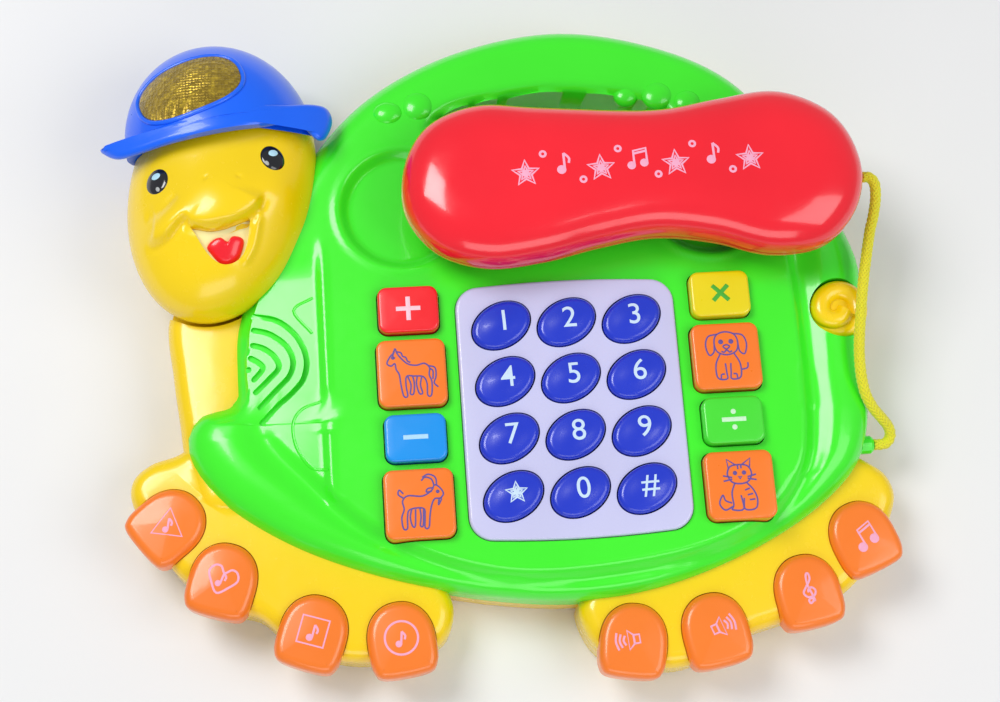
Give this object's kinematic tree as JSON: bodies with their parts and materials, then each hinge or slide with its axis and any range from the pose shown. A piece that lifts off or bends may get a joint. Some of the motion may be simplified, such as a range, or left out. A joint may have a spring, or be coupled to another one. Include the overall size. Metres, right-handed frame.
{
  "type": "toy telephone",
  "caption": "Turtle-shaped toy telephone lying on its back: lift-off handset on a rope cord, oval number keys, picture buttons, toe buttons, capped head with a lamp lens.",
  "frame": {"origin": "on the flat resting face of the back cover, under the middle of the twelve number keys", "axes": "+X along the rows of keys to the right, +Y towards the carry handle, +Z out of the face, up as it lies on its back"},
  "size_m": [0.2997, 0.2608, 0.071],
  "materials": {
    "key_blue": "smooth gloss",
    "toe_orange": "satin gloss",
    "plus_red": "satin gloss",
    "animal_orange": "satin gloss",
    "minus_blue": "satin gloss",
    "times_yellow": "satin gloss",
    "divide_green": "satin gloss",
    "shell_green": "smooth gloss",
    "body_yellow": "smooth gloss",
    "cap_blue": "smooth gloss",
    "lens_gold": "prismatic clear plastic",
    "board_brown": "laminate",
    "panel_lilac": "satin gloss",
    "membrane_grey": "matte",
    "speaker_black": "matte",
    "battery_can": "printed film",
    "contact_steel": "plated",
    "switch_black": "matte",
    "screw_steel": "zinc",
    "handset_red": "high gloss",
    "cord_yellow": "braided rope"
  },
  "bodies": {
    "casing": {"shell_cover": "shell_green", "back_cover": "body_yellow", "left_foot_cover": "body_yellow", "right_foot_cover": "body_yellow", "head_front": "body_yellow", "head_back": "body_yellow", "tail": "body_yellow", "cap": "cap_blue", "cap_lens": "lens_gold", "cap_lamp_board": "board_brown", "keypad_panel": "panel_lilac", "key_membrane": "membrane_grey", "main_board": "board_brown", "left_toe_board": "board_brown", "right_toe_board": "board_brown", "speaker": "speaker_black", "battery_1": "battery_can", "battery_2": "battery_can", "battery_3": "battery_can", "battery_contact_left": "contact_steel", "battery_contact_right": "contact_steel", "case_screw_1": "screw_steel", "case_screw_2": "screw_steel", "case_screw_3": "screw_steel", "case_screw_4": "screw_steel", "cord_bush": "shell_green", "cord": "cord_yellow"},
    "handset": {"handset_front": "handset_red", "handset_back": "handset_red", "handset_bush": "handset_red"},
    "battery_door": {"battery_door": "body_yellow"},
    "power_slider": {"power_slider": "switch_black"},
    "key_1": {"key_1": "key_blue"},
    "key_2": {"key_2": "key_blue"},
    "key_3": {"key_3": "key_blue"},
    "key_4": {"key_4": "key_blue"},
    "key_5": {"key_5": "key_blue"},
    "key_6": {"key_6": "key_blue"},
    "key_7": {"key_7": "key_blue"},
    "key_8": {"key_8": "key_blue"},
    "key_9": {"key_9": "key_blue"},
    "key_0": {"key_0": "key_blue"},
    "key_star": {"key_star": "key_blue"},
    "key_hash": {"key_hash": "key_blue"},
    "button_plus": {"button_plus": "plus_red"},
    "button_horse": {"button_horse": "animal_orange"},
    "button_minus": {"button_minus": "minus_blue"},
    "button_goat": {"button_goat": "animal_orange"},
    "button_times": {"button_times": "times_yellow"},
    "button_dog": {"button_dog": "animal_orange"},
    "button_divide": {"button_divide": "divide_green"},
    "button_cat": {"button_cat": "animal_orange"},
    "toe_triangle": {"toe_triangle": "toe_orange"},
    "toe_heart": {"toe_heart": "toe_orange"},
    "toe_square": {"toe_square": "toe_orange"},
    "toe_circle": {"toe_circle": "toe_orange"},
    "toe_low_sound": {"toe_low_sound": "toe_orange"},
    "toe_high_sound": {"toe_high_sound": "toe_orange"},
    "toe_clef": {"toe_clef": "toe_orange"},
    "toe_notes": {"toe_notes": "toe_orange"}
  },
  "joints": [
    {"name": "handset_lift", "type": "slide", "parent": "casing", "child": "handset", "axis": [0, 0, 1], "range_m": [0, 0.06]},
    {"name": "battery_door_lift", "type": "slide", "parent": "casing", "child": "battery_door", "axis": [0, 0, -1], "range_m": [0, 0.02]},
    {"name": "power_slide", "type": "slide", "parent": "casing", "child": "power_slider", "axis": [1, 0, 0], "range_m": [0, 0.006]},
    {"name": "key_1_press", "type": "slide", "parent": "casing", "child": "key_1", "axis": [0, 0, -1], "range_m": [0, 0.0016], "stiffness_N_per_m": 400, "springref_m": -0.001},
    {"name": "key_2_press", "type": "slide", "parent": "casing", "child": "key_2", "axis": [0, 0, -1], "range_m": [0, 0.0016], "stiffness_N_per_m": 400, "springref_m": -0.001},
    {"name": "key_3_press", "type": "slide", "parent": "casing", "child": "key_3", "axis": [0, 0, -1], "range_m": [0, 0.0016], "stiffness_N_per_m": 400, "springref_m": -0.001},
    {"name": "key_4_press", "type": "slide", "parent": "casing", "child": "key_4", "axis": [0, 0, -1], "range_m": [0, 0.0016], "stiffness_N_per_m": 400, "springref_m": -0.001},
    {"name": "key_5_press", "type": "slide", "parent": "casing", "child": "key_5", "axis": [0, 0, -1], "range_m": [0, 0.0016], "stiffness_N_per_m": 400, "springref_m": -0.001},
    {"name": "key_6_press", "type": "slide", "parent": "casing", "child": "key_6", "axis": [0, 0, -1], "range_m": [0, 0.0016], "stiffness_N_per_m": 400, "springref_m": -0.001},
    {"name": "key_7_press", "type": "slide", "parent": "casing", "child": "key_7", "axis": [0, 0, -1], "range_m": [0, 0.0016], "stiffness_N_per_m": 400, "springref_m": -0.001},
    {"name": "key_8_press", "type": "slide", "parent": "casing", "child": "key_8", "axis": [0, 0, -1], "range_m": [0, 0.0016], "stiffness_N_per_m": 400, "springref_m": -0.001},
    {"name": "key_9_press", "type": "slide", "parent": "casing", "child": "key_9", "axis": [0, 0, -1], "range_m": [0, 0.0016], "stiffness_N_per_m": 400, "springref_m": -0.001},
    {"name": "key_0_press", "type": "slide", "parent": "casing", "child": "key_0", "axis": [0, 0, -1], "range_m": [0, 0.0016], "stiffness_N_per_m": 400, "springref_m": -0.001},
    {"name": "key_star_press", "type": "slide", "parent": "casing", "child": "key_star", "axis": [0, 0, -1], "range_m": [0, 0.0016], "stiffness_N_per_m": 400, "springref_m": -0.001},
    {"name": "key_hash_press", "type": "slide", "parent": "casing", "child": "key_hash", "axis": [0, 0, -1], "range_m": [0, 0.0016], "stiffness_N_per_m": 400, "springref_m": -0.001},
    {"name": "button_plus_press", "type": "slide", "parent": "casing", "child": "button_plus", "axis": [0, 0, -1], "range_m": [0, 0.0016], "stiffness_N_per_m": 400, "springref_m": -0.001},
    {"name": "button_horse_press", "type": "slide", "parent": "casing", "child": "button_horse", "axis": [0, 0, -1], "range_m": [0, 0.0016], "stiffness_N_per_m": 400, "springref_m": -0.001},
    {"name": "button_minus_press", "type": "slide", "parent": "casing", "child": "button_minus", "axis": [0, 0, -1], "range_m": [0, 0.0016], "stiffness_N_per_m": 400, "springref_m": -0.001},
    {"name": "button_goat_press", "type": "slide", "parent": "casing", "child": "button_goat", "axis": [0, 0, -1], "range_m": [0, 0.0016], "stiffness_N_per_m": 400, "springref_m": -0.001},
    {"name": "button_times_press", "type": "slide", "parent": "casing", "child": "button_times", "axis": [0, 0, -1], "range_m": [0, 0.0016], "stiffness_N_per_m": 400, "springref_m": -0.001},
    {"name": "button_dog_press", "type": "slide", "parent": "casing", "child": "button_dog", "axis": [0, 0, -1], "range_m": [0, 0.0016], "stiffness_N_per_m": 400, "springref_m": -0.001},
    {"name": "button_divide_press", "type": "slide", "parent": "casing", "child": "button_divide", "axis": [0, 0, -1], "range_m": [0, 0.0016], "stiffness_N_per_m": 400, "springref_m": -0.001},
    {"name": "button_cat_press", "type": "slide", "parent": "casing", "child": "button_cat", "axis": [0, 0, -1], "range_m": [0, 0.0016], "stiffness_N_per_m": 400, "springref_m": -0.001},
    {"name": "toe_triangle_press", "type": "slide", "parent": "casing", "child": "toe_triangle", "axis": [0, 0, -1], "range_m": [0, 0.0016], "stiffness_N_per_m": 400, "springref_m": -0.001},
    {"name": "toe_heart_press", "type": "slide", "parent": "casing", "child": "toe_heart", "axis": [0, 0, -1], "range_m": [0, 0.0016], "stiffness_N_per_m": 400, "springref_m": -0.001},
    {"name": "toe_square_press", "type": "slide", "parent": "casing", "child": "toe_square", "axis": [0, 0, -1], "range_m": [0, 0.0016], "stiffness_N_per_m": 400, "springref_m": -0.001},
    {"name": "toe_circle_press", "type": "slide", "parent": "casing", "child": "toe_circle", "axis": [0, 0, -1], "range_m": [0, 0.0016], "stiffness_N_per_m": 400, "springref_m": -0.001},
    {"name": "toe_low_sound_press", "type": "slide", "parent": "casing", "child": "toe_low_sound", "axis": [0, 0, -1], "range_m": [0, 0.0016], "stiffness_N_per_m": 400, "springref_m": -0.001},
    {"name": "toe_high_sound_press", "type": "slide", "parent": "casing", "child": "toe_high_sound", "axis": [0, 0, -1], "range_m": [0, 0.0016], "stiffness_N_per_m": 400, "springref_m": -0.001},
    {"name": "toe_clef_press", "type": "slide", "parent": "casing", "child": "toe_clef", "axis": [0, 0, -1], "range_m": [0, 0.0016], "stiffness_N_per_m": 400, "springref_m": -0.001},
    {"name": "toe_notes_press", "type": "slide", "parent": "casing", "child": "toe_notes", "axis": [0, 0, -1], "range_m": [0, 0.0016], "stiffness_N_per_m": 400, "springref_m": -0.001}
  ]
}
